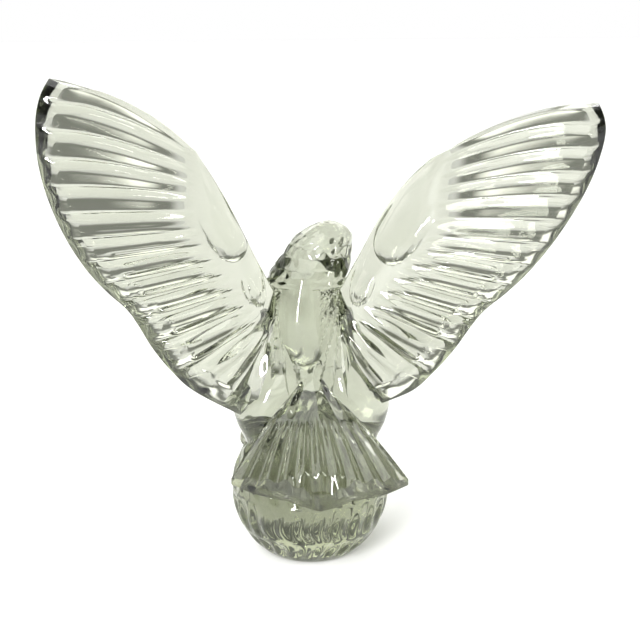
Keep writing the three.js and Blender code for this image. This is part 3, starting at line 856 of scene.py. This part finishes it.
class Shader:
    """A material's node tree, written as calls."""

    def __init__(self, tree):
        self.tree = tree
        tree.nodes.clear()

    def node(self, kind, settings=None, **values):
        made = self.tree.nodes.new(kind)
        for key, value in (settings or {}).items():
            setattr(made, key, value)
        for key, value in values.items():
            target = made.inputs[int(key[1:])] if key[0] == "_" else made.inputs[key.replace("_", " ")]
            if isinstance(value, Socket):
                self.tree.links.new(value.output, target)
            else:
                target.default_value = value
        return made

    def out(self, kind, output, settings=None, **values):
        return Socket(self, self.node(kind, settings, **values).outputs[output])

    def maths(self, operation, a, b):
        return self.out("ShaderNodeMath", "Value", {"operation": operation}, _0=a, _1=b)

    def fade(self, value, low, high):
        settings = {"interpolation_type": "SMOOTHSTEP"}
        return self.out("ShaderNodeMapRange", "Result", settings, Value=value, From_Min=low, From_Max=high)

    def blend(self, share, low, high):
        return self.out("ShaderNodeMix", 2, {"data_type": "RGBA"}, Factor=share, _6=low, _7=high)


# Heights in metres over which the ball's painted shade fades into the glass's tint
BALL_SHADE_FADE = (0.038, 0.052)
GRAIN_SHARE = 0.12
GRAIN_ROUGHNESS = 0.02
LEAST_ROUGHNESS = 0.004


def crystal_material(look):
    """Clear glass, darker where it is thick, with painted shade on the ball and the lowest parts, which
    partly stands in for their thick glass, and with slow ripples and a fine grain.
    """
    material = bpy.data.materials.new("clear_glass")
    material.use_nodes = True
    shader = Shader(material.node_tree)
    place = shader.out("ShaderNodeTexCoord", "Object")
    ripple = shader.out("ShaderNodeTexNoise", "Fac", Vector=place, Scale=70.0, Detail=1.0, Roughness=0.4)
    grain = shader.out("ShaderNodeTexNoise", "Fac", Vector=place, Scale=260.0, Detail=2.0, Roughness=0.5)
    relief = ripple + grain * GRAIN_SHARE
    bump = shader.out("ShaderNodeBump", "Normal", Strength=1.0, Distance=look.ripple, Height=relief)
    rough = grain * GRAIN_ROUGHNESS + LEAST_ROUGHNESS
    height = Socket(shader, shader.node("ShaderNodeSeparateXYZ", Vector=place).outputs["Z"])
    # Painted shade: below these heights the surface takes the darker ball colour
    tint = shader.blend(shader.fade(height, *BALL_SHADE_FADE), (*look.ball_shade_tint, 1), (*look.tint, 1))
    surface = shader.out(
        "ShaderNodeBsdfPrincipled", "BSDF", Base_Color=tint, Roughness=rough, IOR=look.index,
        Transmission_Weight=1.0, Normal=bump,
    )
    depth = shader.out(
        "ShaderNodeVolumeAbsorption", "Volume", Color=(*look.depth_tint, 1), Density=look.depth_density
    )
    shader.node("ShaderNodeOutputMaterial", Surface=surface, Volume=depth)
    return material


WINDOW_SIDES = (0.55, 0.85)
SWEEP_TOP = (-0.01, 0.1)
WINDOW_FOOT = (0.16, 0.3)
WINDOW_TOP = (0.5, 0.6)


def studio_world(look):
    """A pale sweep up to the horizon, a wide window in each wall, and a grey room round them."""
    world = bpy.data.worlds.new("studio_light")
    world.use_nodes = True
    shader = Shader(world.node_tree)
    way = shader.node("ShaderNodeSeparateXYZ", Vector=shader.out("ShaderNodeTexCoord", "Generated"))
    x, y, height = (Socket(shader, output) for output in way.outputs)
    corner = shader.maths("ABSOLUTE", x * y, 0.0) * 2.0
    blend, fade = shader.blend, shader.fade
    windows = blend(fade(corner, *WINDOW_SIDES), (*look.band_colour, 1), (*look.room_colour, 1))
    low = blend(fade(height, *SWEEP_TOP), (*look.sweep_colour, 1), (*look.room_colour, 1))
    low = blend(fade(height, *WINDOW_FOOT), low, windows)
    colour = blend(fade(height, *WINDOW_TOP), low, (*look.room_colour, 1))
    sky = shader.out("ShaderNodeBackground", "Background", Color=colour, Strength=1.0)
    shader.node("ShaderNodeOutputWorld", Surface=sky)
    return world


FLOOR_ROUGHNESS = 0.75
FLOOR_MOTTLE = 0.1


def floor_material(look):
    """Matt pale card."""
    material = bpy.data.materials.new("studio_floor")
    material.use_nodes = True
    shader = Shader(material.node_tree)
    place = shader.out("ShaderNodeTexCoord", "Object")
    mottle = shader.out("ShaderNodeTexNoise", "Fac", Vector=place, Scale=3.0, Detail=2.0)
    rough = mottle * FLOOR_MOTTLE + FLOOR_ROUGHNESS
    colour = (*look.floor_colour, 1)
    surface = shader.out("ShaderNodeBsdfPrincipled", "BSDF", Base_Color=colour, Roughness=rough)
    shader.node("ShaderNodeOutputMaterial", Surface=surface)
    return material


# Operators, panel and registration

CREASE_ANGLE = 38


class OBJECT_OT_cast_eagle(bpy.types.Operator):
    """Cast the eagle and its ball in one piece of clear glass"""

    bl_idname = "object.cast_crystal_eagle"
    bl_label = "Cast eagle"

    def execute(self, context):
        sizes = context.scene.eagle_sizes
        solids = [make_ball(sizes), make_torso(sizes), make_spine(sizes), make_tail(sizes)]
        solids += make_head(sizes)
        solids += [make_wing(sizes, wing) for wing in WINGS.values()]
        for side in (-1, 1):
            solids.append(make_thigh(sizes, side))
            solids += [make_toe(sizes, side, toe) for toe in TOES]
        eagle = united("crystal_eagle", solids)
        eagle.data.materials.clear()
        eagle.data.materials.append(crystal_material(context.scene.glass_look))
        eagle.data.shade_smooth()
        eagle.data.set_sharp_from_angle(angle=math.radians(CREASE_ANGLE))
        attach(eagle, "root")
        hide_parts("eagle")
        return {"FINISHED"}


class OBJECT_OT_studio_stage(bpy.types.Operator):
    """Lay the pale floor, hang the soft lights and set the camera"""

    bl_idname = "object.crystal_eagle_stage"
    bl_label = "Set stage"

    def execute(self, context):
        look = context.scene.stage_look
        bpy.ops.mesh.primitive_plane_add(size=6, location=(0, 0, 0))
        floor = context.object
        floor.name = "studio_floor"
        floor.data.materials.append(floor_material(look))
        soft_sun("ceiling", side=(-0.35, -0.3, 1.0), spread=math.radians(60), strength=look.ceiling_light)
        area_light("key", spot=(-0.42, -0.9, 0.35), width=0.12, height=0.9, power=18)
        area_light("rim", spot=(0.8, -0.5, 0.7), width=0.12, height=0.5, power=3)
        context.scene.world = studio_world(look)
        context.scene.view_settings.view_transform = "Standard"
        place_camera(context, look)
        return {"FINISHED"}


def soft_sun(name, side, spread, strength):
    """A broad sun that shines from the given side."""
    light = bpy.data.lights.new(name, "SUN")
    light.angle = spread
    light.energy = strength
    lamp = bpy.data.objects.new(name, light)
    lamp.rotation_euler = Vector(side).to_track_quat("Z", "Y").to_euler()
    bpy.context.scene.collection.objects.link(lamp)


LIT_MIDDLE = Vector((0, 0, 0.1))


def area_light(name, spot, width, height, power):
    """A tall soft light that faces the middle of the eagle."""
    light = bpy.data.lights.new(name, "AREA")
    light.shape = "RECTANGLE"
    light.size = width
    light.size_y = height
    light.energy = power
    lamp = bpy.data.objects.new(name, light)
    lamp.location = spot
    lamp.rotation_euler = (Vector(spot) - LIT_MIDDLE).to_track_quat("Z", "Y").to_euler()
    bpy.context.scene.collection.objects.link(lamp)


CAMERA_AIM_HEIGHT = 0.0271
CAMERA_SHIFT = (0.004, 0.0648)
SENSOR_WIDTH = 36
LENS = 87.2


def place_camera(context, look):
    """A camera that looks at the eagle's middle, shifted right and up as seen in its picture."""
    azimuth, elevation = look.azimuth, look.elevation
    level = math.cos(elevation)
    back = Vector((math.sin(azimuth) * level, -math.cos(azimuth) * level, math.sin(elevation)))
    right = Vector((math.cos(azimuth), math.sin(azimuth), 0))
    up = back.cross(right)
    aim = Vector((0, 0, CAMERA_AIM_HEIGHT)) + right * CAMERA_SHIFT[0] + up * CAMERA_SHIFT[1]
    camera = bpy.data.cameras.new("camera")
    camera.sensor_width = SENSOR_WIDTH
    camera.lens = LENS
    holder = bpy.data.objects.new("camera", camera)
    turn = Matrix((right, up, back)).transposed()
    holder.matrix_world = Matrix.Translation(aim + back * look.distance) @ turn.to_4x4()
    context.scene.collection.objects.link(holder)
    context.scene.camera = holder


class VIEW3D_PT_crystal_eagle(bpy.types.Panel):
    """Sizes, looks and makers of the crystal eagle"""

    bl_label = "Crystal Eagle"
    bl_space_type = "VIEW_3D"
    bl_region_type = "UI"
    bl_category = "Crystal Eagle"

    def draw(self, context):
        scene = context.scene
        for settings in (scene.eagle_sizes, scene.glass_look, scene.stage_look):
            box = self.layout.box()
            for name in settings.__annotations__:
                box.prop(settings, name)
        self.layout.operator(OBJECT_OT_cast_eagle.bl_idname)
        self.layout.operator(OBJECT_OT_studio_stage.bl_idname)


CLASSES = (
    EagleSizes, GlassLook, StageLook, OBJECT_OT_cast_eagle, OBJECT_OT_studio_stage, VIEW3D_PT_crystal_eagle,
)


def register():
    for cls in CLASSES:
        bpy.utils.register_class(cls)
    bpy.types.Scene.eagle_sizes = PointerProperty(type=EagleSizes)
    bpy.types.Scene.glass_look = PointerProperty(type=GlassLook)
    bpy.types.Scene.stage_look = PointerProperty(type=StageLook)


def unregister():
    del bpy.types.Scene.stage_look, bpy.types.Scene.glass_look, bpy.types.Scene.eagle_sizes
    for cls in reversed(CLASSES):
        bpy.utils.unregister_class(cls)


def main():
    register()
    bpy.ops.object.cast_crystal_eagle()
    bpy.ops.object.crystal_eagle_stage()


if __name__ == "__main__":
    main()
